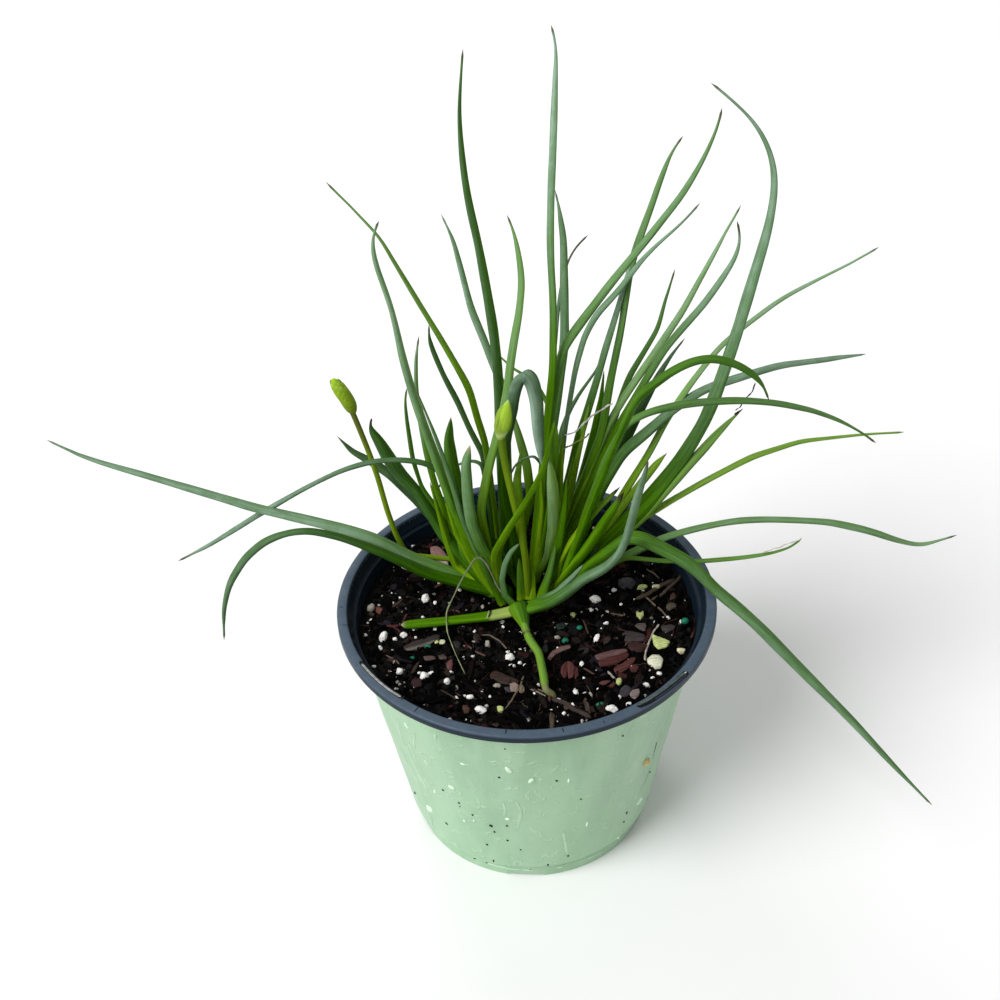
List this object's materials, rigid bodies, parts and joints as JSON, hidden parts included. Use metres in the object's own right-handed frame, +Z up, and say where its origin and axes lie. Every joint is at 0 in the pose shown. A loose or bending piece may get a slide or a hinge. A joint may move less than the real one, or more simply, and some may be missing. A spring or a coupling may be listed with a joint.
{
  "type": "potted bulbine",
  "caption": "Clump of long fleshy grass-like succulent leaves with lime flower spikes, in a tapered mint nursery pot with a dark rolled rim, filled with black potting mix.",
  "frame": {"origin": "on the pot's axis, in the plane of the feet that it stands on", "axes": "+Z up along the pot's axis, +X to the right in the picture's view, where the leaves spread widest, +Y away from the viewer"},
  "size_m": [0.3894, 0.163, 0.347],
  "materials": {
    "pot_mint": "satin mint outside, navy inside and over the rolled rim",
    "potting_mix": "moist black bark and peat mix with white perlite",
    "leaf": "fleshy leaf, bright at the base, with a grey bloom above",
    "leaf_grey": "fleshy leaf with a grey bloom",
    "spike": "matte lime green",
    "bark_pink": "matte dry bark",
    "bark_brown": "matte damp bark",
    "bark_grey": "matte damp bark",
    "husk_red": "matte layered bark scale",
    "twig": "matte twig"
  },
  "bodies": {
    "root": {"pot": "pot_mint", "potting_mix": "potting_mix", "shoot_left": "leaf", "shoot_back_left": "leaf", "shoot_centre": "leaf", "shoot_back_right": "leaf", "shoot_right": "leaf", "shoot_front": "leaf_grey", "flower_spike_left": "spike", "flower_spike_centre": "spike", "bark_chip_pink": "bark_pink", "bark_chip_brown": "bark_brown", "bark_chip_grey": "bark_grey", "husk_red_right": "husk_red", "husk_red_front": "husk_red", "twig_front": "twig", "stick_right": "twig"}
  },
  "joints": []
}
